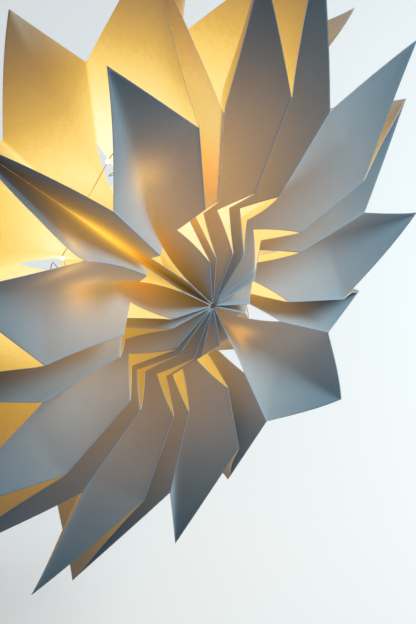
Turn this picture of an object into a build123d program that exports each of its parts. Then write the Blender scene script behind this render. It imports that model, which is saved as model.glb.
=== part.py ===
from build123d import *
import math
import os

# Paper star lantern: nine gusseted paper bags, fanned round into a full star and glued to each other
# along the centre line of their walls, with a wire of small warm lights threaded through them.
# Millimetres. The star's axis lies along Y and its front looks along -Y. +Z is up, and the origin is
# the middle of the punched hole at the top that the star hangs by.

# Folded bag, measured flat
PAPER = 0.3                 # sheet thickness
BAG_WIDTH = 110.0           # from the front side edge to the back one
GUSSET_GAP = 18.0           # between the middle folds of the two gussets
EDGE_LENGTH = 157.0         # side edge, from the bag's bottom to where the point begins
POINT_LENGTH = 265.0        # from the bag's bottom to the tip of the point
FOLD_ROOM = 0.15            # free space left inside a pressed fold
GUSSET_PULL = 0.99          # how flat a gusset can be pulled, as a share of its own width

# Notch cut through all layers of each side edge
NOTCH_START = 38.0          # nearest end, from the bag's bottom
NOTCH_CORNER = 62.0         # its deep corner, from the bag's bottom
NOTCH_END = 83.0            # far end, from the bag's bottom
NOTCH_DEPTH = 20.0

# Star
HUB_RADIUS = 3.0            # open hole left in the middle, at the bags' bottoms
GLUE_STRIP = 8.0            # width of the glued band down the middle of each wall
JUNCTIONS = (0.0, 38.0, 86.0, 124.0, 165.0, 202.0, 240.0, 281.0, 321.0)    # degrees, clockwise from the top
CREVICES = (4.0, 9.0, 5.5, 5.0, 5.5, 5.0, 5.5, 5.5, 5.0)                    # half opening at each, degrees

# Free points of the gussets, one value for each bag clockwise from the top
POINT_SPRINGS = (0.25, -0.6, 0.36, 0.48, 0.03, 0.21, 0.3, 0.3, 0.6)         # share of its depth that each springs out
POINT_LEANS = (0.0, -1.0, -1.5, -2.3, 0.0, 1.0, 0.0, 0.0, 0.0)              # degrees clockwise that each leans

# Hole for hanging, through the two walls glued at the top
HANG_HOLE_RADIUS = 2.0
HANG_HOLE_FROM_TIP = 16.0

# Wire of lights
WIRE_DIAMETER = 0.8
WIRE_LEAD = 12.0            # straight run out of the holder
CROSSING_RADIUS = 64.0      # where the wire crosses from bag to bag, through the back notches
CROSSING_INSET = 9.0        # in from the back edges
CROSSING_STEP = 1.0         # degrees past the ridges either side
LOBE_RADIUS = 98.0          # how far up each bag it rises
LOBE_DEPTH = 4.0            # behind the star's middle plane
LOBE_STEP = 8.0             # degrees each side of a bag's middle
LIGHT_LENGTH = 4.0
LIGHT_DIAMETER = 2.6
LIGHT_RUN = 35.0            # only runs longer than this carry a light
LOOP_PAST_EDGE = 6.0        # how far the loop in bag eight shows beyond the side edges
LOOP_INSET = 12.0           # in from the front edges

# Coin cell and its holder, inside the bag at the lower right
CELL_DIAMETER = 20.0
CELL_THICKNESS = 3.2
CELL_STEP = 0.6
HOLDER_WALL = 1.6
HOLDER_FLOOR = 1.4
HOLDER_RADIUS = 112.0       # its middle, from the star's axis
HOLDER_JUNCTION = 3         # the glued wall that it is stuck to
THUMB_SLOT = 9.0
COLLAR_LENGTH = 3.0
COLLAR_WIDTH = 4.0
CLEARANCE = 0.15
SEAT = 0.35                 # glue between the holder and the bent wall

# Building
CUT_OVERRUN = 5.0           # how far a cut runs on past the paper
TUBE_PAST_TIP = 1.15        # the uncut tube's end, as a share of the star's radius
CUT_PAST_TUBE = 1.3         # the cuts' end, as a share of the tube's
SECTIONS = (0.4, 0.7, 1.0)  # where the tube is measured, as shares of the side edge

BAGS = len(JUNCTIONS)
HALF_WIDTH = BAG_WIDTH / 2
GUSSET_DEPTH = (BAG_WIDTH - GUSSET_GAP) / 2
TIP_RADIUS = HUB_RADIUS + POINT_LENGTH
EDGE_RADIUS = HUB_RADIUS + EDGE_LENGTH
POINT_SLOPE = (POINT_LENGTH - EDGE_LENGTH) / HALF_WIDTH
GUSSET_TIP_RADIUS = EDGE_RADIUS + GUSSET_DEPTH * POINT_SLOPE
TUBE_END = TIP_RADIUS * TUBE_PAST_TIP
CUT_END = TUBE_END * CUT_PAST_TUBE
HANG_RADIUS = TIP_RADIUS - HANG_HOLE_FROM_TIP
FOLD_WIDTH = 2 * PAPER + FOLD_ROOM
BOTTOM_HALF = FOLD_WIDTH + FOLD_ROOM


def tan(angle):
    return math.tan(math.radians(angle))


def cos(angle):
    return math.cos(math.radians(angle))


def sin(angle):
    return math.sin(math.radians(angle))


def bag_angles(index):
    """Middle of a bag, its half spread, and the angles of its two ridges either side of that middle."""
    start = JUNCTIONS[index]
    end = JUNCTIONS[(index + 1) % BAGS]
    half = ((end - start) % 360) / 2
    left = half - CREVICES[index]
    right = half - CREVICES[(index + 1) % BAGS]
    close = min(1, 2 * widest_ridge_angle() / (left + right))
    return start + half, half, left * close, right * close


def widest_ridge_angle():
    """Where the ridges stand when the gusset between them is pulled flat and holds them together."""
    spread = GUSSET_PULL * GUSSET_DEPTH + FOLD_WIDTH
    return math.degrees(math.asin(min(1, spread / EDGE_RADIUS)))


def crevice(junction):
    """Angles from a junction back to the ridge before it and on to the ridge after it."""
    _, half_before, _, right = bag_angles(junction - 1)
    _, half_after, left, _ = bag_angles(junction)
    return half_before - right, half_after - left


def ridge_x(angle, height):
    """Distance of a ridge from the bag's middle line. It is straight from the bottom to the edge's end."""
    end_height = EDGE_RADIUS * cos(angle)
    end_x = EDGE_RADIUS * sin(angle)
    return BOTTOM_HALF + (end_x - BOTTOM_HALF) * (height - HUB_RADIUS) / (end_height - HUB_RADIUS)


def edge_height(left, right):
    return EDGE_RADIUS * cos((left + right) / 2)


def point_share(left, right, height):
    """How far up the gusset's free point a height lies: 0 at the side edges' ends and 1 at its tip."""
    edge = edge_height(left, right)
    return min(1, max(0, (height - edge) / (GUSSET_TIP_RADIUS - edge)))


def gusset_fold_depth(index, height):
    """Depth of the gusset's middle fold below the ridges, which falls as the ridges spread apart and as
    its free point springs out."""
    _, _, left, right = bag_angles(index)
    at = min(height, edge_height(left, right))
    spread = (ridge_x(left, at) + ridge_x(right, at)) / 2 - FOLD_WIDTH
    sprung = 1 - POINT_SPRINGS[index] * point_share(left, right, height)
    return math.sqrt(GUSSET_DEPTH ** 2 - spread ** 2) * sprung


def gusset_fold_x(index, height):
    """Where the gusset's middle fold runs: half way between the ridges, and leaning beyond their ends."""
    _, _, left, right = bag_angles(index)
    lean = GUSSET_TIP_RADIUS * sin(POINT_LEANS[index]) * point_share(left, right, height)
    return (ridge_x(right, height) - ridge_x(left, height)) / 2 + lean


def section_points(index, height):
    """Outer corners of the bag's cross-section at one height, clockwise from the left front ridge."""
    _, half, left, right = bag_angles(index)
    wall = height * tan(half)
    x_left = -ridge_x(left, height)
    x_right = ridge_x(right, height)
    fold = gusset_fold_x(index, height)
    depth = gusset_fold_depth(index, height)
    glue = GLUE_STRIP / 2
    front = [
        (x_left, -HALF_WIDTH),
        (x_left + FOLD_WIDTH, -HALF_WIDTH),
        (fold - FOLD_ROOM, depth - HALF_WIDTH),
        (fold + FOLD_ROOM, depth - HALF_WIDTH),
        (x_right - FOLD_WIDTH, -HALF_WIDTH),
        (x_right, -HALF_WIDTH),
        (wall, -glue),
    ]
    back = [(x, -y) for x, y in front[:6]]
    return front + [(wall, glue)] + back[::-1] + [(-wall, glue), (-wall, -glue)]


def inset(points, amount):
    """The same outline moved inward by the paper's thickness, corner for corner."""
    moved = []
    for i, (x, y) in enumerate(points):
        before = points[i - 1]
        after = points[(i + 1) % len(points)]
        a = math.atan2(y - before[1], x - before[0])
        b = math.atan2(after[1] - y, after[0] - x)
        turn = (b - a) / 2
        middle = a + turn + math.pi / 2
        reach = amount / math.cos(turn)
        moved.append((x + reach * math.cos(middle), y + reach * math.sin(middle)))
    return moved


def section_wire(points, height):
    return Wire.make_polygon([(x, y, height) for x, y in points], close=True)


def bag_heights(index):
    _, _, left, right = bag_angles(index)
    return [share * edge_height(left, right) for share in SECTIONS] + [GUSSET_TIP_RADIUS]


def folded_tube(index):
    """The sheet folded to a tube with two gussets and closed at the bottom, before its end is cut."""
    heights = bag_heights(index)
    outer = [(h, section_points(index, h)) for h in [HUB_RADIUS] + heights + [TUBE_END]]
    inner_heights = [HUB_RADIUS + PAPER] + heights + [TUBE_END + PAPER]
    inner = [(h, inset(section_points(index, h), PAPER)) for h in inner_heights]
    outside = Solid.make_loft([section_wire(p, h) for h, p in outer], ruled=True)
    inside = Solid.make_loft([section_wire(p, h) for h, p in inner], ruled=True)
    return outside - inside


def side_of(angle, sign):
    """Frame of the plane that a wall is glued in: Z runs out along it, and X is square to it."""
    return Rot(0, sign * angle, 0)


def wall_point_cut(half, sign):
    """What is cut away beyond the point of one wall, square to the plane it is glued in, on its own side
    of the bag's middle."""
    out = HALF_WIDTH + CUT_OVERRUN
    low = EDGE_RADIUS - CUT_OVERRUN * POINT_SLOPE
    outline = [(-out, low), (0, TIP_RADIUS), (out, low), (out, CUT_END), (-out, CUT_END)]
    face = make_face(Polyline(*[(0, y, z) for y, z in outline], close=True))
    cut = side_of(half, sign) * extrude(face, amount=CUT_END, dir=(1, 0, 0), both=True)
    own_side = Pos(sign * CUT_END, 0, CUT_END) * Box(2 * CUT_END, 2 * BAG_WIDTH, 2 * CUT_END)
    return cut & own_side


def between_ridges(left, right, low):
    """Everything between the two ridge planes, from one height up, through the bag's whole depth."""
    outline = [
        (-ridge_x(left, low), low),
        (ridge_x(right, low), low),
        (ridge_x(right, CUT_END), CUT_END),
        (-ridge_x(left, CUT_END), CUT_END),
    ]
    face = make_face(Polyline(*[(x, 0, z) for x, z in outline], close=True))
    return extrude(face, amount=BAG_WIDTH, dir=(0, 1, 0), both=True)


def gusset_point_cut(index):
    """What is cut away beyond the points of the two gussets."""
    _, _, left, right = bag_angles(index)
    left_end = (-EDGE_RADIUS * sin(left), EDGE_RADIUS * cos(left))
    right_end = (EDGE_RADIUS * sin(right), EDGE_RADIUS * cos(right))
    tip = (gusset_fold_x(index, GUSSET_TIP_RADIUS), GUSSET_TIP_RADIUS)
    far_right = (ridge_x(right, CUT_END), CUT_END)
    far_left = (-ridge_x(left, CUT_END), CUT_END)
    outline = [left_end, tip, right_end, far_right, far_left]
    face = make_face(Polyline(*[(x, 0, z) for x, z in outline], close=True))
    return extrude(face, amount=BAG_WIDTH, dir=(0, 1, 0), both=True)


def notch_cut():
    """Triangle cut through all layers of both side edges, square through the flat bag."""
    near = (NOTCH_CORNER - NOTCH_START) / NOTCH_DEPTH
    far = (NOTCH_END - NOTCH_CORNER) / NOTCH_DEPTH
    corner = HUB_RADIUS + NOTCH_CORNER
    outside = -HALF_WIDTH - CUT_OVERRUN
    outline = [
        (outside, HUB_RADIUS + NOTCH_START - CUT_OVERRUN * near),
        (NOTCH_DEPTH - HALF_WIDTH, corner),
        (outside, HUB_RADIUS + NOTCH_END + CUT_OVERRUN * far),
    ]
    face = make_face(Polyline(*[(0, y, z) for y, z in outline], close=True))
    front = extrude(face, amount=EDGE_RADIUS, dir=(1, 0, 0), both=True)
    return front + mirror(front, about=Plane.XZ)


def hang_hole(half, sign):
    """Punched hole, square to the plane that the wall is glued in."""
    return side_of(half, sign) * Pos(0, 0, HANG_RADIUS) * Rot(0, 90, 0) * Cylinder(HANG_HOLE_RADIUS, BAG_WIDTH)


def paper_bag(index):
    """One bag in its own frame: its bottom at the star's axis and its middle line up Z."""
    middle, half, left, right = bag_angles(index)
    gussets = between_ridges(left, right, EDGE_RADIUS / 2)
    cuts = [
        wall_point_cut(half, -1) - gussets,
        wall_point_cut(half, 1) - gussets,
        gusset_point_cut(index),
        notch_cut(),
    ]
    if index == 0:
        cuts.append(hang_hole(half, -1))
    if index == BAGS - 1:
        cuts.append(hang_hole(half, 1))
    return Rot(0, middle, 0) * (folded_tube(index) - cuts)


def around(angle, radius, depth):
    """A point given by its angle clockwise from the top, its distance from the axis and its depth."""
    return Vector(radius * sin(angle), depth, radius * cos(angle))


def crossing(junction):
    """The two stops either side of a junction, where the wire passes through both bags' back notches."""
    back, on = crevice(junction)
    first = JUNCTIONS[junction] - back - CROSSING_STEP
    last = JUNCTIONS[junction] + on + CROSSING_STEP
    depth = HALF_WIDTH - CROSSING_INSET
    return [around(first, CROSSING_RADIUS, depth), around(last, CROSSING_RADIUS, depth)]


def lobe(index):
    """The two stops at the top of the wire's rise inside a bag."""
    middle = bag_angles(index)[0]
    low = around(middle - LOBE_STEP, LOBE_RADIUS, LOBE_DEPTH)
    return [low, around(middle + LOBE_STEP, LOBE_RADIUS, LOBE_DEPTH)]


def front_loop():
    """The two stops of the loop that shows at the mouth of bag eight, near its front edge."""
    radius = EDGE_RADIUS + LOOP_PAST_EDGE
    depth = LOOP_INSET - HALF_WIDTH
    return [around(311.5, radius, depth), around(314.5, radius, depth - 1)]


def holder_frame():
    """Where the cell holder sits: on the back half of a glued wall, facing into its bag."""
    glue = around(JUNCTIONS[HOLDER_JUNCTION], HOLDER_RADIUS, GLUE_STRIP / 2)
    ridge = around(JUNCTIONS[HOLDER_JUNCTION] + crevice(HOLDER_JUNCTION)[1], HOLDER_RADIUS, HALF_WIDTH)
    middle = (glue + ridge) / 2
    outward = Vector(middle.X, 0, middle.Z).normalized()
    into = outward.cross((ridge - glue).normalized()).normalized() * -1
    return Plane(origin=middle + into * (PAPER + SEAT), x_dir=outward, z_dir=into)


def holder_outer_radius():
    return CELL_DIAMETER / 2 + CLEARANCE + HOLDER_WALL


def wire_start():
    """Middle of the collar's end face, where the wire leaves the holder."""
    out = holder_outer_radius() + COLLAR_LENGTH
    return holder_frame().from_local_coords(Vector(out, 0, COLLAR_WIDTH / 2))


def wire_route():
    """Stops along the wire, from the cell holder clockwise through every bag to its end in the third."""
    start = wire_start()
    outward = holder_frame().x_dir
    stops = [start, start + outward * WIRE_LEAD]
    stops += [around(137, 134, -2), around(143, 122, -12), around(149, 98, 8)]
    for index in range(4, 7):
        stops += crossing(index) + lobe(index)
    stops += crossing(7)
    stops += [around(296, 100, -10)] + front_loop() + [around(314, 112, -6)]
    stops += crossing(8)
    stops += [around(327.5, 117, 1), around(340, 149, -14), around(346, 149, -20), around(349, 116, -20)]
    for index in range(0, 3):
        stops += crossing(index) + lobe(index)
    return stops


def turn_at(stops, i):
    return (stops[i] - stops[i - 1]).get_angle(stops[i + 1] - stops[i])


def bend_room(stops, i):
    """How much of the shorter run beside a stop its bend may take up."""
    return 0.45 * min((stops[i] - stops[i - 1]).length, (stops[i + 1] - stops[i]).length)


def bend_radii(stops):
    """The largest bends that the runs leave room for."""
    return [bend_room(stops, i) / tan(turn_at(stops, i) / 2) for i in range(1, len(stops) - 1)]


def light_wire():
    stops = wire_route()
    path = FilletPolyline(*stops, radius=bend_radii(stops))
    section = Plane(origin=stops[0], z_dir=stops[1] - stops[0]) * Circle(WIRE_DIAMETER / 2)
    return sweep(section, path=path)


def light_places():
    """A light at the outer end of the straight part of each long run, as a point and a direction."""
    stops = wire_route()
    places = []
    for i in range(1, len(stops) - 2):
        start, end = stops[i], stops[i + 1]
        along = (end - start).normalized()
        if (end - start).length > LIGHT_RUN:
            first = start + along * (bend_room(stops, i) + LIGHT_LENGTH / 2)
            last = end - along * (bend_room(stops, i + 1) + LIGHT_LENGTH / 2)
            outer = max(first, last, key=lambda point: math.hypot(point.X, point.Z))
            places.append((outer, along))
    return places


def light(place, direction):
    """A clear drop with the wire through it, as a turned spindle."""
    bore = WIRE_DIAMETER / 2
    tip = LIGHT_LENGTH / 2
    arc = ThreePointArc((bore, 0, -tip), (LIGHT_DIAMETER / 2, 0, 0), (bore, 0, tip))
    profile = make_face(arc + Line((bore, 0, tip), (bore, 0, -tip)))
    return Plane(origin=place, z_dir=direction) * revolve(profile, axis=Axis.Z)


def coin_cell():
    """A coin cell with its smaller cap towards the bag's inside."""
    can = extrude(Circle(CELL_DIAMETER / 2), CELL_THICKNESS - CELL_STEP)
    cap = Pos(0, 0, CELL_THICKNESS - CELL_STEP) * extrude(Circle(CELL_DIAMETER / 2 - 2 * CELL_STEP), CELL_STEP)
    return holder_frame() * Pos(0, 0, HOLDER_FLOOR) * (can + cap)


def cell_holder():
    """A round open tray with a slot to push the cell out by and a collar for the wire."""
    outer = holder_outer_radius()
    height = HOLDER_FLOOR + CELL_THICKNESS
    tray = extrude(Circle(outer), height)
    tray += Pos(outer + COLLAR_LENGTH / 2 - HOLDER_WALL / 2, 0, COLLAR_WIDTH / 2) * Box(
        COLLAR_LENGTH + HOLDER_WALL, COLLAR_WIDTH, COLLAR_WIDTH
    )
    tray -= Pos(0, 0, HOLDER_FLOOR) * extrude(Circle(CELL_DIAMETER / 2 + CLEARANCE), height)
    tray -= Pos(-outer, 0, HOLDER_FLOOR + height / 2) * Box(2 * HOLDER_WALL + 2 * CLEARANCE, THUMB_SLOT, height)
    return holder_frame() * tray


def placed(shape):
    """From the star's own middle to the frame whose origin is the hang hole."""
    return Pos(0, 0, -HANG_RADIUS) * shape


def save(shape, name):
    part = placed(shape)
    part.label = name
    export_step(part, f"parts/{name}.step")


os.makedirs("parts", exist_ok=True)
for number in range(BAGS):
    save(paper_bag(number), f"paper_bag_{number + 1}")
save(light_wire(), "light_wire")
for number, (place, direction) in enumerate(light_places()):
    save(light(place, direction), f"light_{number + 1}")
save(cell_holder(), "cell_holder")
save(coin_cell(), "coin_cell")
print("wire bends, mm:", [round(r, 1) for r in bend_radii(wire_route())])
print("sharpest turn, degrees:", round(max(turn_at(wire_route(), i) for i in range(1, len(wire_route()) - 1))))
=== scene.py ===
import math

import bmesh
import bpy
import numpy as np
from mathutils import Matrix, Vector


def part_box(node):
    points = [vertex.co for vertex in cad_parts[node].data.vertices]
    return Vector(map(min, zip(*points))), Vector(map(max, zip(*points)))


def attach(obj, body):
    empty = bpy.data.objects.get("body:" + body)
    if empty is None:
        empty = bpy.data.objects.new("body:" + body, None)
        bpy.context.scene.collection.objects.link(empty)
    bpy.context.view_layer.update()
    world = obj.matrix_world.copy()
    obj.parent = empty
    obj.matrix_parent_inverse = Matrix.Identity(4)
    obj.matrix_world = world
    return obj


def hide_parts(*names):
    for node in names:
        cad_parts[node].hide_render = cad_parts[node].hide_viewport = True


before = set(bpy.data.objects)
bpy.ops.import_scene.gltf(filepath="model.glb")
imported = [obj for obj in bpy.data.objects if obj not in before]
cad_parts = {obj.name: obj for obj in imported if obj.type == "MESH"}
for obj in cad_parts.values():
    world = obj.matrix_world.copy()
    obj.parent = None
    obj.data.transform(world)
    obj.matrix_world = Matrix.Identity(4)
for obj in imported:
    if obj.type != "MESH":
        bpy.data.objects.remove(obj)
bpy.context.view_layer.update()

# The folded bag: its sheet's thickness, its width, the depth of its gussets, the radii at which its bottom,
# its side edges and its tips end and at which the star hangs, the room in a pressed fold, and where along
# a side edge a notch starts, is deepest and ends
PAPER = 0.0003
BAG_WIDTH = 0.110
GUSSET_DEPTH = 0.046
HUB_RADIUS = 0.003
EDGE_RADIUS = 0.160
TIP_RADIUS = 0.268
HANG_RADIUS = 0.252
FOLD_ROOM = 0.00015
FOLD_WIDTH = 2 * PAPER + FOLD_ROOM
HALF_WIDTH = BAG_WIDTH / 2
POINT_SLOPE = (TIP_RADIUS - EDGE_RADIUS) / HALF_WIDTH
GUSSET_TIP = EDGE_RADIUS + GUSSET_DEPTH * POINT_SLOPE
NOTCH_START = 0.041
NOTCH_CORNER = 0.065
NOTCH_END = 0.086
NOTCH_DEPTH = 0.020

# The star: where neighbouring bags are glued, in degrees clockwise from the top, half the angle of the
# crevice there, and the number of lights on the wire
JUNCTIONS = (0, 38, 86, 124, 165, 202, 240, 281, 321)
CREVICES = (4, 9, 5.5, 5, 5.5, 5, 5.5, 5.5, 5)
BAGS = len(JUNCTIONS)
LIGHTS = 20

# Free points of the gussets, one value for each bag clockwise from the top: the share of its depth that
# each springs out, and the degrees clockwise that each leans
POINT_SPRINGS = (0.25, -0.6, 0.36, 0.48, 0.03, 0.21, 0.3, 0.3, 0.6)
POINT_LEANS = (0.0, -1.0, -1.5, -2.3, 0.0, 1.0, 0.0, 0.0, 0.0)

# How rounded a gusset's middle fold is at two heights, where it is pressed and where it is pulled open,
# and how rounded a wall is where it is glued, as shares of a gusset's depth and of half a wall's width
SOFT_HEIGHTS = (0.05, 0.20)
FOLD_SOFTNESS = (0.0286, 0.13)
WALL_SOFTNESS = 0.14

# How far the two front ridges of a bag bow clockwise at their outer ends, for each bag where they do
RIDGE_BOWS = {6: (0.0, -0.004), 7: (-0.005, -0.010)}

# The back gusset of the widest bag isn't pulled flat: its free point falls inward by this many depths
BACK_SPRINGS = {1: -4.2}

# The slow waves of hand-folded paper: their height, where they begin and are full, how quickly the broad
# and the slanting one turn along and across the sheet, and how they differ from bag to bag and by side
WAVE_HEIGHT = 0.0006
WAVE_RISE = (0.05, 0.17)
BROAD_WAVE = (38, 47)
BROAD_PHASES = (2.1, 1.3)
SLANT_WAVE = (71, 29)
SLANT_SHARE = 0.6
GUSSET_PHASES = (1.7, 0.4)
WALL_PHASES = (2.3, 0.7)

# How finely each sheet is divided, how near two points are one, and the least that is divided by
ROWS_BELOW = 10
ROWS_NOTCH = 10
ROWS_ABOVE = 46
COLUMNS = 22
FOLD_COLUMNS = 5
WELD_GAP = 0.000005
LEAST_DIVISOR = 0.000001

# How strongly the light shows inside each bag and through each bag's paper, clockwise from the top
LIGHT_INSIDE = (0.93, 0.72, 0.78, 0.70, 0.44, 0.34, 0.36, 0.80, 0.72)
LIGHT_THROUGH = (0.92, 0.54, 0.56, 0.47, 0.42, 0.42, 0.52, 0.80, 0.68)

# How much stronger it is on the walls inside each bag than in its gussets, and the width of the change
WALL_SHARES = (1.2, 1.2, 1.2, 1.2, 1.2, 1.2, 1.2, 1.2, 1.7)
WALL_CHANGE = 0.003

# The height that is lit most, and how far the light reaches up and down from there: inside, through a
# gusset, through a wall and through the glued middle of a wall
LIT_HEIGHT = 0.083
REACH_INSIDE = 0.075
REACH_THROUGH = 0.058
REACH_THROUGH_WALL = 0.052
REACH_THROUGH_MIDDLE = 0.026

# How much comes through a gusset and a wall at the side edge, how much more towards the inner fold and
# the glued line, how strong the glued middle is, and how it gathers there
GUSSET_EVEN = 0.30
GUSSET_INWARD = 0.27
WALL_EVEN = 0.33
WALL_INWARD = 0.15
MIDDLE_EVEN = 1.5
MIDDLE_POWER = 2.5

# What share of it gets through the walls' many folds by the hub at the lower of two heights. At the upper
# one all of it does
HUB_HEIGHTS = (0.015, 0.055)
HUB_CLEAR = 0.45

# Light in the depth of the folds by the hub: its strength in each bag, its height and its reach
ROOT_LIGHT = (0.0, 0.0, 0.0, 0.0, 0.15, 0.25, 0.15, 0.55, 0.60)
ROOT_HEIGHT = 0.038
ROOT_REACH = 0.024

# Light from the bag next door on the outside of a bag's anticlockwise wall: by bag, height and reach
BESIDE_LIGHT = {0: 0.92}
BESIDE_HEIGHT = 0.155
BESIDE_REACH = 0.050

# Lamps that hang close behind a front gusset, by bag: the height and the distance from the middle fold
# where each shows, how far its glow reaches and how strong it is
CLOSE_LAMPS = {3: (0.094, 0.003, 0.008, 0.42), 7: (0.118, 0.003, 0.013, 0.36), 8: (0.131, 0.004, 0.012, 0.30)}

# A lamp's size, the share of its light that doesn't depend on the angle at which it meets the paper, and
# the share that gets through the walls to the bags next door
LAMP_SIZE = 0.015
LAMP_SPREAD = 0.25
THROUGH_WALLS = 0.12

# How far a notch's stray light is full: up and down from its corner, and inward from the side edge
STRAY_HEIGHT = 0.010
STRAY_DEPTH = 0.008


def bag_angles(index):
    """Middle of a bag, its half spread and its two ridge angles either side of the middle, in degrees."""
    start = JUNCTIONS[index]
    half = ((JUNCTIONS[(index + 1) % BAGS] - start) % 360) / 2
    return start + half, half, half - CREVICES[index], half - CREVICES[(index + 1) % BAGS]


def ridge_x(angle, z):
    """How far a ridge stands from the bag's middle line at height z: a straight line from the bottom."""
    a = math.radians(angle)
    low = FOLD_WIDTH + FOLD_ROOM
    share = (z - HUB_RADIUS) / (EDGE_RADIUS * math.cos(a) - HUB_RADIUS)
    return low + (EDGE_RADIUS * math.sin(a) - low) * share


def edge_end(angle):
    """Height at which a side edge ends."""
    return EDGE_RADIUS * math.cos(math.radians(angle))


def soft_v(q, soft):
    """A V with a rounded bottom: 0 at q = 0 and 1 at q = 1, from the root of q squared + soft squared."""
    return (np.sqrt(q * q + soft * soft) - soft) / (np.sqrt(1 + soft * soft) - soft)


def notch_reach(z):
    """How deep the notch is cut at height z: a triangle that peaks at the notch's corner."""
    up = (z - NOTCH_START) / (NOTCH_CORNER - NOTCH_START)
    down = (NOTCH_END - z) / (NOTCH_END - NOTCH_CORNER)
    return NOTCH_DEPTH * np.clip(np.minimum(up, down), 0, None)


def point_share(index, z):
    """How far up the gusset's free point a height lies, from 0 at the longer side edge's end to 1 at its
    tip."""
    _, _, left, right = bag_angles(index)
    edge = edge_end(min(left, right))
    return np.clip((z - edge) / (GUSSET_TIP - edge), 0, 1)


def ridge_place(index, side, face, z):
    """Where a ridge stands across the bag at height z: straight out from the bottom, and bowed sideways by
    the square of the height above the notch."""
    _, _, left, right = bag_angles(index)
    bow = RIDGE_BOWS.get(index, (0.0, 0.0))[0 if side < 0 else 1] if face < 0 else 0.0
    rise = np.clip((z - NOTCH_END) / (EDGE_RADIUS - NOTCH_END), 0, 1)
    return side * ridge_x(left if side < 0 else right, z) + bow * rise ** 2


def fold_depth(index, z):
    """Depth of a gusset's middle fold at height z. At the bottom it is the gusset's full depth. At the end
    of the side edges it is the root of that squared less half the ridges' distance squared, and between
    them it falls as the square of a sine. Beyond the side edges it stays as it is."""
    _, _, left, right = bag_angles(index)
    edge = edge_end((left + right) / 2)
    spread = (ridge_x(left, edge) + ridge_x(right, edge)) / 2 - FOLD_WIDTH
    shallow = math.sqrt(GUSSET_DEPTH ** 2 - spread ** 2)
    return GUSSET_DEPTH - (GUSSET_DEPTH - shallow) * np.sin(np.pi / 2 * np.clip(z / edge, 0, 1)) ** 2


def fold_x(index, z):
    """Where a gusset's middle fold runs: half way between the ridges, and leaning beyond their ends."""
    _, _, left, right = bag_angles(index)
    lean = GUSSET_TIP * math.sin(math.radians(POINT_LEANS[index]))
    return (ridge_x(right, z) - ridge_x(left, z)) / 2 + lean * point_share(index, z)


def shared_heights():
    """Heights of the rows below the end of the notch, with a row at each of the notch's corners."""
    low = np.linspace(HUB_RADIUS, NOTCH_START, ROWS_BELOW, endpoint=False)
    rise = np.linspace(NOTCH_START, NOTCH_CORNER, ROWS_NOTCH, endpoint=False)
    fall = np.linspace(NOTCH_CORNER, NOTCH_END, ROWS_NOTCH, endpoint=False)
    return np.concatenate([low, rise, fall])


def heights(top):
    """The grid of heights: the shared rows, then even rows up to each column's own cut end."""
    low = np.repeat(shared_heights()[:, None], len(top), axis=1)
    t = np.linspace(0, 1, ROWS_ABOVE)[:, None]
    return np.vstack([low, NOTCH_END + (top[None, :] - NOTCH_END) * t])


def unevenness(across, z, phase):
    """The slow waves of hand-folded paper: the product of two sines, of height and of width, and a third
    sine of both, which die out at the hub."""
    rise = np.interp(z, WAVE_RISE, (0, 1))
    upward = np.sin(BROAD_WAVE[0] * z + BROAD_PHASES[0] * phase)
    broad = upward * np.sin(BROAD_WAVE[1] * across + BROAD_PHASES[1] * phase)
    slanting = np.sin(SLANT_WAVE[0] * z - SLANT_WAVE[1] * across + phase)
    return WAVE_HEIGHT * rise * (broad + SLANT_SHARE * slanting)


def gusset_half(index, side, face):
    """Half of a gusset, from a ridge (q = 0) to the middle fold (q = 1). x goes straight from one to the
    other and depth follows a V with a slightly rounded bottom. Beyond the side edge the half is a flat
    triangle between its straight cut and the middle fold, shifted as the free point springs out by a
    quarter sine. The slow waves are added to the depth. face is -1 at the star's front and 1 at its
    back."""
    _, _, left, right = bag_angles(index)
    edge = edge_end(left if side < 0 else right)
    flat = np.linspace(0, 1, COLUMNS)
    z = heights(edge + (GUSSET_TIP - edge) * flat)
    depth = fold_depth(index, z)
    start = notch_reach(z) / depth
    q = start + (1 - start) * flat[None, :]
    ridge_at_edge = ridge_place(index, side, face, edge) - side * FOLD_WIDTH
    t = np.clip((z - edge) / (GUSSET_TIP - edge), 0, 1)
    cut = ridge_at_edge + (fold_x(index, GUSSET_TIP) - ridge_at_edge) * t
    ridge = np.where(t > 0, cut, ridge_place(index, side, face, z) - side * FOLD_WIDTH)
    from_cut = np.clip((q - t) / np.maximum(1 - t, LEAST_DIVISOR), 0, 1)
    x = ridge + (fold_x(index, z) - ridge) * from_cut
    soft = np.interp(z, SOFT_HEIGHTS, FOLD_SOFTNESS)
    hollow = t + (1 - t) * (1 - soft_v(1 - from_cut, soft))
    spring = BACK_SPRINGS.get(index, POINT_SPRINGS[index]) if face > 0 else POINT_SPRINGS[index]
    sprung = spring * np.sin(np.pi / 2 * point_share(index, z))
    phase = GUSSET_PHASES[0] * index + face + GUSSET_PHASES[1] * side
    wave = unevenness(q * GUSSET_DEPTH, z, phase) * np.sin(np.pi * from_cut)
    y = FOLD_WIDTH / 2 - HALF_WIDTH + (depth - FOLD_WIDTH / 2) * (hollow - sprung) + wave
    return x, -face * y, z, (1 - q) * GUSSET_DEPTH


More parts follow.
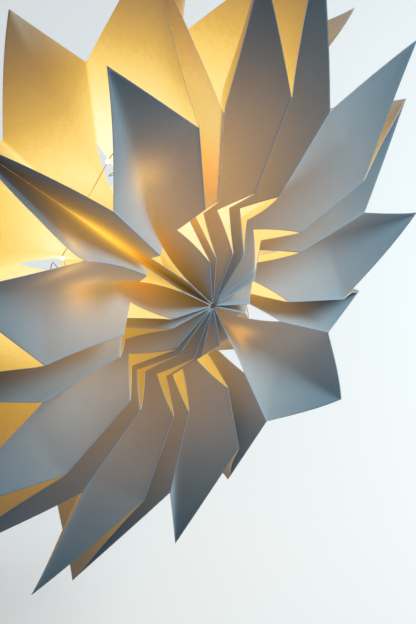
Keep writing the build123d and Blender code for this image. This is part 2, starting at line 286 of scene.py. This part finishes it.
def wall_half(index, side, face):
    """Half of a wall, from a ridge (q = 0) to the glued line down its middle (q = 1). It leaves the ridge
    straight and rounds off flat where it is glued. The slow waves only bend it inward. The top is cut
    along a straight line of the sheet."""
    _, half, left, right = bag_angles(index)
    own = left if side < 0 else right
    flat = np.linspace(0, 1, COLUMNS)
    tip = TIP_RADIUS * math.cos(math.radians(half))
    z = heights(edge_end(own) + (tip - edge_end(own)) * flat)
    start = notch_reach(z) / HALF_WIDTH
    q = start + (1 - start) * flat[None, :]
    ridge = side * ridge_place(index, side, face, z)
    glued = z * math.tan(math.radians(half)) - FOLD_ROOM / 4
    phase = WALL_PHASES[0] * index + face + WALL_PHASES[1] * side
    wave = unevenness(q * HALF_WIDTH, z, phase) * np.sin(np.pi * q)
    x = ridge + (glued - ridge) * (1 - soft_v(1 - q, WALL_SOFTNESS)) - np.abs(wave)
    y = (FOLD_WIDTH / 2 - HALF_WIDTH) * (1 - q)
    return side * x, -face * y, z, GUSSET_DEPTH + q * HALF_WIDTH


def ridge_fold(index, side, face, above):
    """The rounded fold along a ridge, below or above the notch: half a circle carried along the ridge."""
    _, _, left, right = bag_angles(index)
    own = left if side < 0 else right
    if above:
        z = np.linspace(NOTCH_END, edge_end(own), ROWS_ABOVE)[:, None]
    else:
        z = np.append(shared_heights()[:ROWS_BELOW], NOTCH_START)[:, None]
    turn = np.linspace(0, np.pi, FOLD_COLUMNS)[None, :]
    radius = FOLD_WIDTH / 2
    x = side * ridge_place(index, side, face, z) - radius + radius * np.cos(turn)
    y = radius - HALF_WIDTH - radius * np.sin(turn) + 0 * z
    return side * x, -face * y, z + 0 * turn, GUSSET_DEPTH + radius * np.cos(turn) + 0 * z


def bottom_half(index, face):
    """Half of the closed bottom: straight across from the left wall's first row to the right wall's."""
    left, right = wall_half(index, -1, face), wall_half(index, 1, face)
    return tuple(np.stack([a[0], b[0]]) for a, b in zip(left, right))


def outward(x, y, z, wanted):
    """Whether a grid's quads face the wanted way: the sum of the cross products of their diagonals."""
    p = np.stack([x, y, z], axis=-1)
    one = p[1:, 1:] - p[:-1, :-1]
    two = p[1:, :-1] - p[:-1, 1:]
    return float(np.cross(one, two).sum(axis=(0, 1)) @ np.array(wanted)) > 0


def grid_quads(shape, first, turned):
    """Quads of a grid of points, row by row, wound the other way where asked."""
    rows, columns = shape
    corner = first + np.arange(rows - 1)[:, None] * columns + np.arange(columns - 1)[None, :]
    quads = np.stack([corner, corner + 1, corner + columns + 1, corner + columns], axis=-1).reshape(-1, 4)
    return quads[:, ::-1] if turned else quads


def bag_patches(index):
    """Every patch of one bag's sheet, each with the way it faces."""
    patches = []
    for face in (-1, 1):
        for side in (-1, 1):
            patches.append((gusset_half(index, side, face), (0, face, 0)))
            patches.append((wall_half(index, side, face), (side, 0, 0)))
            patches.append((ridge_fold(index, side, face, False), (0, face, 0)))
            patches.append((ridge_fold(index, side, face, True), (0, face, 0)))
        patches.append((bottom_half(index, face), (0, 0, -1)))
    return patches


def turned_out(points, degrees):
    """Points of a bag's own frame in the star: turned clockwise by the bag's angle, then hung."""
    a = math.radians(degrees)
    x, y, z = points.T
    turned_x = x * math.cos(a) + z * math.sin(a)
    turned_z = z * math.cos(a) - x * math.sin(a)
    return np.stack([turned_x, y, turned_z - HANG_RADIUS], axis=1)


def weld(mesh):
    """Merge the points that patches share along the folds."""
    bm = bmesh.new()
    bm.from_mesh(mesh)
    bmesh.ops.remove_doubles(bm, verts=bm.verts, dist=WELD_GAP)
    bm.to_mesh(mesh)
    bm.free()


def middle_of(node):
    """The middle of a node's box."""
    low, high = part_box(node)
    return np.array((low + high) / 2)


LAMPS = np.array([middle_of(f"light_{i + 1}") for i in range(LIGHTS)])


def bag_of(points):
    """Which bag each point lies in, by its angle clockwise from the top."""
    angle = np.degrees(np.arctan2(points[:, 0], points[:, 2] + HANG_RADIUS)) % 360
    return np.searchsorted(np.array(JUNCTIONS), angle, side="right") - 1


LAMP_BAGS = bag_of(LAMPS)


def lamp_light(points, normals, index):
    """Light that reaches the inside of a bag's sheet straight from the lamps: for each lamp the cosine law
    over distance squared, weaker from the bags next door."""
    away = LAMPS[None, :, :] - points[:, None, :]
    distance = np.sqrt((away ** 2).sum(axis=2))
    facing = np.clip(-(away * normals[:, None, :]).sum(axis=2) / distance, 0, 1)
    steps = np.abs((LAMP_BAGS - index + BAGS // 2) % BAGS - BAGS // 2)
    share = np.select([steps == 0, steps == 1], [1.0, THROUGH_WALLS], 0.0)
    turned = LAMP_SPREAD + (1 - LAMP_SPREAD) * facing
    return (turned * share * LAMP_SIZE ** 2 / (distance ** 2 + LAMP_SIZE ** 2)).sum(axis=1)


def bell(place, middle, reach):
    """A bell curve: 1 in the middle, and e to the power of minus half the square of the distance from
    there over the reach."""
    return np.exp(-0.5 * ((place - middle) / reach) ** 2)


def wall_share(across):
    """1 on the walls and 0 on the gussets, and in between on the fold that joins them."""
    return np.clip((across - GUSSET_DEPTH) / WALL_CHANGE + 0.5, 0, 1)


def light_within(index, across, along):
    """The even light on the inside of a sheet, stronger on the walls than in the gussets."""
    share = 1 + (WALL_SHARES[index] - 1) * wall_share(across)
    return LIGHT_INSIDE[index] * share * bell(along, LIT_HEIGHT, REACH_INSIDE)


def close_glow(index, across, along, y):
    """The soft round glow of a lamp close behind the front gusset, where y is negative: a bell curve of
    the height times one of the distance from the middle fold."""
    if index not in CLOSE_LAMPS:
        return 0.0
    height, width, reach, strength = CLOSE_LAMPS[index]
    return np.where(y < 0, strength * bell(along, height, reach) * bell(across, width, reach), 0.0)


def through_gusset(index, inward, along):
    """Even light through a gusset: a little more the further in from the side edges. In some bags the
    depth of the folds by the hub is lit as well."""
    even = bell(along, LIT_HEIGHT, REACH_THROUGH) * (GUSSET_EVEN + GUSSET_INWARD * inward)
    return even + root_glow(index, inward, along)


def through_wall(index, inward, along, x):
    """Even light through a wall, which has a lit bag on both sides: more towards its glued middle, and
    most in the middle of its height. Close to the hub less gets through the many folds. The bag next door
    lights the outside of some walls on the anticlockwise side, where x is negative."""
    even = bell(along, LIT_HEIGHT, REACH_THROUGH_WALL) * (WALL_EVEN + WALL_INWARD * inward ** 2)
    middle = bell(along, LIT_HEIGHT, REACH_THROUGH_MIDDLE) * MIDDLE_EVEN * inward ** MIDDLE_POWER
    clear = np.interp(along, HUB_HEIGHTS, (HUB_CLEAR, 1))
    beside = BESIDE_LIGHT.get(index, 0.0) * bell(along, BESIDE_HEIGHT, BESIDE_REACH)
    return clear * (even + middle) + root_glow(index, inward, along) + np.where(x < 0, beside, 0.0)


def root_glow(index, inward, along):
    """Light in the depth of the folds by the hub, growing with the square of how far in it is."""
    return ROOT_LIGHT[index] * inward ** 2 * bell(along, ROOT_HEIGHT, ROOT_REACH)


def light_through(index, across, along, x, y):
    """The even light that shows through a sheet: that of the gussets and of the walls, and the lamps that
    hang close behind it. How far in a point lies goes from 0 at the side edges to 1 at the star's middle
    plane."""
    inward = 1 - np.abs(y) / HALF_WIDTH
    gusset = through_gusset(index, inward, along)
    wall = through_wall(index, inward, along, x)
    even = LIGHT_THROUGH[index] * (gusset + (wall - gusset) * wall_share(across))
    return even + close_glow(index, across, along, y)


def add_values(mesh, name, values):
    """Store one number for each point of a mesh under a name that materials read."""
    attribute = mesh.attributes.new(name, "FLOAT", "POINT")
    attribute.data.foreach_set("value", values.astype(np.float32))


def bag_sheet(index):
    """One folded bag as a single sheet, with its flat coordinates and the light on it kept per point."""
    name = f"bag_sheet_{index + 1}"
    points, flat, quads, first = [], [], [], 0
    for (x, y, z, across), wanted in bag_patches(index):
        points.append(np.stack([x.ravel(), y.ravel(), z.ravel()], axis=1))
        flat.append(np.stack([across.ravel(), z.ravel()], axis=1))
        quads.append(grid_quads(x.shape, first, not outward(x, y, z, wanted)))
        first += x.size
    mesh = bpy.data.meshes.new(name)
    mesh.from_pydata(np.concatenate(points).tolist(), [], np.concatenate(quads).tolist())
    flat = np.concatenate(flat)
    add_values(mesh, "across", flat[:, 0])
    add_values(mesh, "along", flat[:, 1])
    weld(mesh)
    place_and_light(mesh, index)
    return mesh


def read_values(items, name, width=1):
    """The numbers of one property of every item, width to an item, as one flat array."""
    values = np.zeros(len(items) * width, np.float32)
    items.foreach_get(name, values)
    return values


def place_and_light(mesh, index):
    """Turn the sheet to its place in the star and store the lamps' light on every point."""
    own = read_values(mesh.vertices, "co", 3).reshape(-1, 3)
    placed = turned_out(own.astype(float), bag_angles(index)[0])
    mesh.vertices.foreach_set("co", placed.astype(np.float32).ravel())
    mesh.update()
    normals = read_values(mesh.vertices, "normal", 3).reshape(-1, 3)
    across = read_values(mesh.attributes["across"].data, "value")
    along = read_values(mesh.attributes["along"].data, "value")
    from_fold = np.abs(across - GUSSET_DEPTH)
    above = np.clip(np.abs(along - NOTCH_CORNER) - STRAY_HEIGHT, 0, None)
    beyond = np.clip(from_fold - STRAY_DEPTH, 0, None)
    add_values(mesh, "lamp", lamp_light(placed, normals.astype(float), index))
    add_values(mesh, "within", light_within(index, across, along))
    add_values(mesh, "through", light_through(index, across, along, own[:, 0], own[:, 1]))
    add_values(mesh, "fold_distance", from_fold)
    add_values(mesh, "notch_distance", np.hypot(above, beyond))


class Tree:
    """A thin helper that adds nodes to a tree by name and joins them."""

    def __init__(self, tree):
        self.tree = tree

    def add(self, kind, inputs=None, **settings):
        """A new node, with its settings and with a value or a link at each named input."""
        node = self.tree.nodes.new(kind)
        for key, value in settings.items():
            setattr(node, key, value)
        for key, value in (inputs or {}).items():
            self.feed(value, node.inputs[key])
        return node

    def feed(self, value, socket):
        """Link a socket to an input, or give the input a plain value."""
        if isinstance(value, bpy.types.NodeSocket):
            self.link(value, socket)
        else:
            socket.default_value = value

    def link(self, source, socket):
        """Link an output to an input."""
        self.tree.links.new(source, socket)

    def value(self, name):
        """One of the numbers that are stored on the mesh."""
        return self.add("ShaderNodeAttribute", attribute_name=name).outputs["Fac"]

    def math(self, operation, a, b=0.0, c=0.0, clamp=False):
        """One sum on numbers or outputs."""
        node = self.add("ShaderNodeMath", {0: a, 1: b, 2: c}, operation=operation, use_clamp=clamp)
        return node.outputs[0]

    def between(self, value, limits):
        """0 at the first limit and 1 at the second, in a straight line, and no further."""
        start, end = limits
        return self.math("MULTIPLY_ADD", value, 1 / (end - start), -start / (end - start), clamp=True)

    def spread(self, value, limits):
        """The first limit where the value is 0 and the second where it is 1."""
        low, high = limits
        return self.math("MULTIPLY_ADD", value, high - low, low)

    def mix(self, factor, a, b, blend="MIX"):
        """Colour a where the factor is 0, and where it is 1 b, or what the blend makes of the two."""
        node = self.add("ShaderNodeMix", data_type="RGBA", blend_type=blend, clamp_factor=True)
        for value, socket in ((factor, node.inputs[0]), (a, node.inputs[6]), (b, node.inputs[7])):
            self.feed(value, socket)
        return node.outputs[2]

    def noise(self, **settings):
        """Noise on the object's own coordinates."""
        inputs = {key.capitalize(): value for key, value in settings.items()}
        inputs["Vector"] = self.add("ShaderNodeTexCoord").outputs["Object"]
        return self.add("ShaderNodeTexNoise", inputs).outputs[0]

    def bump(self, height, strength, distance):
        """The normal of a surface with this height on it."""
        node = self.add("ShaderNodeBump", {"Height": height, "Strength": strength, "Distance": distance})
        return node.outputs["Normal"]


def new_group(name, inputs, outputs):
    """An empty node group with named sockets: (name, kind, default) in and (name, kind) out."""
    group = bpy.data.node_groups.new(name, "ShaderNodeTree")
    for label, kind, default in inputs:
        socket = group.interface.new_socket(label, in_out="INPUT", socket_type=kind)
        socket.default_value = default
    for label, kind in outputs:
        group.interface.new_socket(label, in_out="OUTPUT", socket_type=kind)
    tree = Tree(group)
    return group, tree, tree.add("NodeGroupInput").outputs, tree.add("NodeGroupOutput").inputs


# How pale the clouds and the fibres make the paper at least and how much more at most, its roughness, and
# the shares of fibre and grain in its height
CLOUD_LEAST = 0.95
CLOUD_MORE = 0.10
FIBRE_LEAST = 0.97
FIBRE_MORE = 0.06
PAPER_ROUGHNESS = (0.66, 0.82)
FIBRE_HEIGHT = 0.5
GRAIN_HEIGHT = 0.9


def paper_fibre_group():
    """Fibre and cloudiness of thin white paper. Out come a colour, a roughness and a height."""
    group, tree, given, out = new_group(
        "paper fibre",
        [("Colour", "NodeSocketColor", (0.5, 0.5, 0.5, 1)), ("Depth", "NodeSocketFloat", 1.0)],
        [("Colour", "NodeSocketColor"), ("Roughness", "NodeSocketFloat"), ("Height", "NodeSocketFloat")],
    )
    cloud = tree.noise(scale=90.0, detail=3.0, roughness=0.6)
    fibre = tree.noise(scale=1500.0, detail=4.0, roughness=0.7)
    grain = tree.noise(scale=420.0, detail=3.0, distortion=1.5)
    cloudy = tree.math("MULTIPLY_ADD", cloud, tree.math("MULTIPLY", given["Depth"], CLOUD_MORE), CLOUD_LEAST)
    speck = tree.math("MULTIPLY_ADD", fibre, tree.math("MULTIPLY", given["Depth"], FIBRE_MORE), FIBRE_LEAST)
    shade = tree.math("MULTIPLY", cloudy, speck)
    tree.link(tree.mix(1.0, given["Colour"], shade, "MULTIPLY"), out["Colour"])
    tree.link(tree.spread(grain, PAPER_ROUGHNESS), out["Roughness"])
    rough = tree.math("MULTIPLY", grain, GRAIN_HEIGHT)
    tree.link(tree.math("MULTIPLY_ADD", fibre, FIBRE_HEIGHT, rough), out["Height"])
    return group


# The painted highlight along a fold, where its ridge catches the light: its width, how uneven it is, and the
# heights between which it gets twice as wide towards the hub, where the folds are pressed together
HIGHLIGHT_WIDTH = 0.0022
HIGHLIGHT_UNEVEN = (0.4, 1.2)
HIGHLIGHT_WIDENING = (0.060, 0.030)


def fold_highlight_group():
    """The painted highlight along a fold's ridge, a pale line uneven along its length. Out comes a mask."""
    group, tree, given, out = new_group(
        "fold highlight",
        [("Width", "NodeSocketFloat", HIGHLIGHT_WIDTH)],
        [("Mask", "NodeSocketFloat")],
    )
    uneven = tree.noise(scale=160.0, detail=2.0)
    wider = tree.math("ADD", tree.between(tree.value("along"), HIGHLIGHT_WIDENING), 1.0)
    width = tree.math("MULTIPLY", given["Width"], wider)
    near = tree.math("DIVIDE", tree.value("fold_distance"), width)
    line = tree.math("SUBTRACT", 1.0, near, clamp=True)
    highlit = tree.math("MULTIPLY", line, tree.spread(uneven, HIGHLIGHT_UNEVEN), clamp=True)
    tree.link(highlit, out["Mask"])
    return group


# The lamps' light on paper: its strength and its colour there
LAMPLIGHT_STEPS = (
    (0.15, (0.150, 0.074, 0.012, 1)),
    (0.30, (0.300, 0.150, 0.022, 1)),
    (0.64, (0.640, 0.370, 0.058, 1)),
    (0.80, (0.800, 0.530, 0.118, 1)),
    (0.97, (0.870, 0.630, 0.190, 1)),
    (1.15, (0.910, 0.710, 0.280, 1)),
)
LAMPLIGHT_FULL = 1.7
LAMPLIGHT_WHITE = (1.0, 0.95, 0.78, 1)

# How quickly the stray light by a notch fades with each metre, as a power of e, and how uneven all of the
# lamps' light is where the paper is cloudy
STRAY_FADE = 90.0
LAMPLIGHT_CLOUDS = (0.88, 1.12)


def lamplight_group():
    """The lamps' light in or through the paper, as a colour: brown where faint, then orange, then yellow."""
    group, tree, given, out = new_group(
        "lamplight",
        [
            ("Even", "NodeSocketFloat", 0.0),
            ("Lamp", "NodeSocketFloat", 1.0),
            ("Notch", "NodeSocketFloat", 0.0),
        ],
        [("Colour", "NodeSocketColor")],
    )
    cloud = tree.noise(scale=240.0, detail=4.0, roughness=0.6)
    straight = tree.math("MULTIPLY", tree.value("lamp"), given["Lamp"])
    stray = tree.math("EXPONENT", tree.math("MULTIPLY", tree.value("notch_distance"), -STRAY_FADE))
    direct = tree.math("ADD", straight, given["Even"])
    amount = tree.math("ADD", direct, tree.math("MULTIPLY", stray, given["Notch"]))
    amount = tree.math("MULTIPLY", amount, tree.spread(cloud, LAMPLIGHT_CLOUDS))
    ramp = tree.add("ShaderNodeValToRGB", {"Fac": tree.math("DIVIDE", amount, LAMPLIGHT_FULL)})
    stops = ramp.color_ramp.elements
    stops[0].position, stops[0].color = 0.0, (0.0, 0.0, 0.0, 1)
    stops[1].position, stops[1].color = 1.0, LAMPLIGHT_WHITE
    for strength, colour in LAMPLIGHT_STEPS:
        stops.new(strength / LAMPLIGHT_FULL).color = colour
    tree.link(ramp.outputs["Color"], out["Colour"])
    return group


def new_material(name):
    """A material with its own tree helper and its Principled BSDF."""
    material = bpy.data.materials.new(name)
    material.use_nodes = True
    tree = Tree(material.node_tree)
    shader = material.node_tree.nodes["Principled BSDF"]
    return material, tree, shader


# Heights between which painted shade darkens the paper towards the points, heights and strengths of light
# between which the light through it deepens by the hub, and those between which strong light deepens low in a
# bag
POINT_SHADE = (0.13, 0.24)
ROOT_SHADE = (0.085, 0.040)
ROOT_STRENGTH = (0.225, 0.475)
LOW_SHADE = (0.135, 0.105)
LOW_STRENGTH = (0.42, 0.92)

# How far the painted highlight along a fold shows
HIGHLIGHT_SHOWS = 0.85


def light_tint(tree, light, tints):
    """The colour that the paper gives the light: the first tint, and the second where the light is strong
    low in a bag, or comes through many layers by the hub."""
    along = tree.value("along")
    low = tree.math("MULTIPLY", tree.between(light, LOW_STRENGTH), tree.between(along, LOW_SHADE))
    root = tree.math("MULTIPLY", tree.between(along, ROOT_SHADE), tree.between(light, ROOT_STRENGTH))
    return tree.mix(tree.math("MAXIMUM", low, root), tints[0], tints[1])


def paper_material(name, colours, even, gains, tints, blocked, depth):
    """Paper with fibre, painted highlights along its folds and the lamps' light showing through or on it. The
    colours are those of the paper, with painted light and shade in them, near the middle of the star, at the
    points where painted shade darkens it, and along the folds as a painted highlight. even names the value
    that holds the even light, and gains are the strengths of that, of the lamps near by and by the notches.
    tints are the colours that the paper gives the light, and blocked is the share of it that a fold's
    double layer holds back."""
    material, tree, shader = new_material(name)
    fibre = tree.add("ShaderNodeGroup", node_tree=FIBRE)
    highlight_node = tree.add("ShaderNodeGroup", node_tree=HIGHLIGHT_GROUP)
    glow = tree.add("ShaderNodeGroup", node_tree=LAMPLIGHT)
    # Painted shade: the paper's colour darkens towards the points
    towards_points_shade = tree.between(tree.value("along"), POINT_SHADE)
    tree.link(tree.mix(towards_points_shade, colours[0], colours[1]), fibre.inputs["Colour"])
    fibre.inputs["Depth"].default_value = depth
    # Painted highlight along the folds: the paler fold colour laid over the paper's
    highlit = tree.math("MULTIPLY", highlight_node.outputs["Mask"], HIGHLIGHT_SHOWS)
    tree.link(tree.mix(highlit, fibre.outputs["Colour"], colours[2]), shader.inputs["Base Color"])
    tree.link(fibre.outputs["Roughness"], shader.inputs["Roughness"])
    bump = tree.bump(fibre.outputs["Height"], strength=0.12, distance=0.0003)
    tree.link(bump, shader.inputs["Normal"])
    light = tree.value(even)
    layers = tree.math("MULTIPLY_ADD", highlight_node.outputs["Mask"], -blocked, 1.0)
    tree.link(tree.math("MULTIPLY", tree.math("MULTIPLY", light, gains[0]), layers), glow.inputs["Even"])
    glow.inputs["Lamp"].default_value = gains[1]
    glow.inputs["Notch"].default_value = gains[2]
    tinted = tree.mix(1.0, glow.outputs["Colour"], light_tint(tree, light, tints), "MULTIPLY")
    tree.link(tinted, shader.inputs["Emission Color"])
    shader.inputs["Emission Strength"].default_value = 1.0
    shader.inputs["Specular IOR Level"].default_value = 0.25
    return material


def wire_material():
    """Fine copper wire under clear lacquer, darker where the lacquer is thick."""
    material, tree, shader = new_material("lacquered copper")
    drawn = tree.noise(scale=900.0, detail=3.0)
    blotch = tree.noise(scale=70.0, detail=2.0)
    colour = tree.mix(blotch, (0.62, 0.33, 0.16, 1), (0.80, 0.52, 0.30, 1))
    bump = tree.bump(drawn, strength=0.3, distance=0.0001)
    tree.link(colour, shader.inputs["Base Color"])
    tree.link(tree.spread(drawn, (0.18, 0.38)), shader.inputs["Roughness"])
    tree.link(bump, shader.inputs["Normal"])
    shader.inputs["Metallic"].default_value = 1.0
    shader.inputs["Coat Weight"].default_value = 0.6
    return material


def drop_material():
    """A clear resin drop that is lit from inside, with slow swirls from pale to deeper amber."""
    material, tree, shader = new_material("lit resin drop")
    swirl = tree.noise(scale=650.0, detail=2.0)
    colour = tree.mix(swirl, (1.0, 0.72, 0.34, 1), (1.0, 0.92, 0.70, 1))
    tree.link(colour, shader.inputs["Base Color"])
    tree.link(colour, shader.inputs["Emission Color"])
    shader.inputs["Emission Strength"].default_value = 5.0
    shader.inputs["Roughness"].default_value = 0.08
    shader.inputs["Coat Weight"].default_value = 0.5
    return material


def moulded_material():
    """Matte white moulded plastic with a fine spark-eroded grain."""
    material, tree, shader = new_material("moulded holder")
    grain = tree.noise(scale=2200.0, detail=2.0)
    soil = tree.noise(scale=120.0, detail=3.0)
    colour = tree.mix(soil, (0.66, 0.65, 0.62, 1), (0.74, 0.74, 0.72, 1))
    bump = tree.bump(grain, strength=0.25, distance=0.0001)
    tree.link(colour, shader.inputs["Base Color"])
    tree.link(tree.spread(grain, (0.42, 0.62)), shader.inputs["Roughness"])
    tree.link(bump, shader.inputs["Normal"])
    return material


def cell_material():
    """Brushed steel of the coin cell, with fine turned marks and a few finger smears."""
    material, tree, shader = new_material("coin cell steel")
    marks = tree.noise(scale=1400.0, detail=4.0, distortion=0.4)
    smear = tree.noise(scale=180.0, detail=2.0)
    colour = tree.mix(smear, (0.58, 0.58, 0.57, 1), (0.70, 0.70, 0.69, 1))
    bump = tree.bump(marks, strength=0.15, distance=0.0001)
    tree.link(colour, shader.inputs["Base Color"])
    tree.link(tree.spread(marks, (0.20, 0.45)), shader.inputs["Roughness"])
    tree.link(bump, shader.inputs["Normal"])
    shader.inputs["Metallic"].default_value = 1.0
    return material


FIBRE = paper_fibre_group()
HIGHLIGHT_GROUP = fold_highlight_group()
LAMPLIGHT = lamplight_group()

# Colours of the paper near the middle of the star, at the points and along the folds, all with painted light
# and
# shade in them: outside the white paper is written as a dim cool painted shade that deepens at the points,
# inside as a deeper painted shade that lifts a little at the points, on the cut edges as a paler painted
# highlight, and along the folds as a painted highlight; and tints of the light
OUTSIDE = ((0.208, 0.295, 0.350, 1), (0.105, 0.175, 0.225, 1), (0.25, 0.375, 0.48, 1))
INSIDE = ((0.20, 0.19, 0.16, 1), (0.25, 0.245, 0.23, 1), (0.21, 0.20, 0.17, 1))
CUT_EDGE = ((0.50, 0.53, 0.56, 1), (0.40, 0.44, 0.48, 1), (0.56, 0.60, 0.64, 1))
AMBER = ((1.00, 0.89, 0.66, 1), (1.25, 0.70, 0.18, 1))
WHITE = (1.0, 1.0, 1.0, 1)
CLEAR = (WHITE, WHITE)

PAPER_LOOKS = [
    paper_material(
        "paper outside", OUTSIDE, "through", gains=(0.88, 0.45, 0.08), tints=AMBER, blocked=0.7, depth=1.0
    ),
    paper_material(
        "paper inside", INSIDE, "within", gains=(1.15, 0.70, 0.0), tints=CLEAR, blocked=0.0, depth=0.8
    ),
    # The cut edges' paler colours are a painted highlight
    paper_material(
        "paper cut edge", CUT_EDGE, "through", gains=(0.6, 0.2, 0.05), tints=AMBER, blocked=0.7, depth=0.5
    ),
]


def paper_bag(index):
    """A bag's sheet with its own thickness, in place of the plain solid."""
    bag = bpy.data.objects.new(f"bag_sheet_{index + 1}", bag_sheet(index))
    bpy.context.collection.objects.link(bag)
    for material in PAPER_LOOKS:
        bag.data.materials.append(material)
    bag.data.shade_smooth()
    thickness = bag.modifiers.new("paper thickness", "SOLIDIFY")
    thickness.thickness = PAPER
    thickness.offset = -1
    thickness.material_offset = 1
    thickness.material_offset_rim = 2
    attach(bag, "root")
    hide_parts(f"paper_bag_{index + 1}")


def dress(node, material):
    """Give a node of the model its finish."""
    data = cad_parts[node].data
    data.materials.clear()
    data.materials.append(material)


for number in range(BAGS):
    paper_bag(number)
dress("light_wire", wire_material())
DROP = drop_material()
for number in range(LIGHTS):
    dress(f"light_{number + 1}", DROP)
dress("cell_holder", moulded_material())
dress("coin_cell", cell_material())


# The camera at the photograph's viewing angle, found from the ends of the ridges: its place, its turns
# in degrees and its focal length on a frame 36 mm wide
CAMERA_PLACE = (-0.8021, -0.8690, 0.9639 - HANG_RADIUS)
CAMERA_HEADING = -44.385
CAMERA_DIP = 40.304
CAMERA_ROLL = -0.615
CAMERA_LENS = 122.41
CAMERA_FRAME = 36

# The floor's level, how far it runs in front of the star, behind it and to each side, the backdrop's
# height, the radius of the bend between the two, their colour and how far that is lifted towards white
# where the floor is seen directly
FLOOR_LEVEL = -0.62
FLOOR_FRONT = -3.0
FLOOR_BACK = 3.0
FLOOR_SIDE = 4.0
BACKDROP_HEIGHT = 3.0
BACKDROP_ROUND = 1.2
FLOOR_COLOUR = (0.80, 0.81, 0.82, 1)
FLOOR_LIFT = 0.24

# Soft light from all round, and one large round lamp to the right of the star
AMBIENT = 0.27
AMBIENT_COLOUR = (0.92, 0.96, 1.0, 1)
WINDOW_PLACE = (1.33, -0.74, 0.56)
WINDOW_SIZE = 1.0
WINDOW_POWER = 31
WINDOW_COLOUR = (0.86, 0.98, 1.0)


def about(degrees, axis):
    """A turn about an axis of the frame."""
    return Matrix.Rotation(math.radians(degrees), 4, axis)


def add_camera():
    """The camera: rolled first, then dipped from the level and turned to its heading."""
    data = bpy.data.cameras.new("camera")
    data.lens = CAMERA_LENS
    data.sensor_width = CAMERA_FRAME
    data.clip_start = 0.05
    camera = bpy.data.objects.new("camera", data)
    bpy.context.collection.objects.link(camera)
    turn = about(CAMERA_HEADING, "Z") @ about(90 - CAMERA_DIP, "X") @ about(CAMERA_ROLL, "Z")
    camera.matrix_world = Matrix.Translation(CAMERA_PLACE) @ turn
    bpy.context.scene.camera = camera


def seen_directly(tree):
    """1 for rays from the camera and for rays that glossy or clear surfaces send on, else 0."""
    path = tree.add("ShaderNodeLightPath").outputs
    glossy = tree.math("MAXIMUM", path["Is Camera Ray"], path["Is Glossy Ray"])
    return tree.math("MAXIMUM", glossy, path["Is Transmission Ray"])


def add_floor():
    """A pale floor that runs up into a backdrop: a profile of a flat, a quarter circle and an upright,
    carried sideways."""
    arc = np.linspace(0, np.pi / 2, 24)
    bend = FLOOR_BACK - BACKDROP_ROUND + BACKDROP_ROUND * np.sin(arc)
    along = np.concatenate([[FLOOR_FRONT], bend, [FLOOR_BACK]])
    rise = np.concatenate([[0], BACKDROP_ROUND * (1 - np.cos(arc)), [BACKDROP_HEIGHT]])
    sides = np.linspace(-FLOOR_SIDE, FLOOR_SIDE, 9)
    x = np.repeat(sides[None, :], len(along), axis=0)
    y = np.repeat(along[:, None], len(sides), axis=1)
    z = np.repeat(FLOOR_LEVEL + rise[:, None], len(sides), axis=1)
    points = np.stack([x.ravel(), y.ravel(), z.ravel()], axis=1)
    quads = grid_quads(x.shape, 0, not outward(x, y, z, (0, -1, 1)))
    mesh = bpy.data.meshes.new("floor")
    mesh.from_pydata(points.tolist(), [], quads.tolist())
    mesh.shade_smooth()
    floor = bpy.data.objects.new("floor", mesh)
    bpy.context.collection.objects.link(floor)
    floor.matrix_world = about(CAMERA_HEADING, "Z")
    material, tree, shader = new_material("pale floor")
    shader.inputs["Base Color"].default_value = FLOOR_COLOUR
    shader.inputs["Roughness"].default_value = 0.9
    shader.inputs["Specular IOR Level"].default_value = 0.1
    shader.inputs["Emission Color"].default_value = WHITE
    tree.link(tree.math("MULTIPLY", seen_directly(tree), FLOOR_LIFT), shader.inputs["Emission Strength"])
    mesh.materials.append(material)


def add_window():
    """A round soft lamp that faces the middle of the star."""
    data = bpy.data.lights.new("window", "AREA")
    data.shape = "DISK"
    data.size = WINDOW_SIZE
    data.energy = WINDOW_POWER
    data.color = WINDOW_COLOUR
    lamp = bpy.data.objects.new("window", data)
    bpy.context.collection.objects.link(lamp)
    towards = Vector((0, 0, -HANG_RADIUS)) - Vector(WINDOW_PLACE)
    turn = towards.to_track_quat("-Z", "Y").to_matrix().to_4x4()
    lamp.matrix_world = Matrix.Translation(WINDOW_PLACE) @ turn


def add_world():
    """Soft light from all round, and plain white where the world itself is seen."""
    world = bpy.data.worlds.new("studio")
    bpy.context.scene.world = world
    world.use_nodes = True
    tree = Tree(world.node_tree)
    seen = seen_directly(tree)
    background = world.node_tree.nodes["Background"]
    tree.link(tree.mix(seen, AMBIENT_COLOUR, WHITE), background.inputs["Color"])
    tree.link(tree.spread(seen, (AMBIENT, 1.0)), background.inputs["Strength"])


add_camera()
add_floor()
add_world()
add_window()
bpy.context.scene.view_settings.view_transform = "Standard"
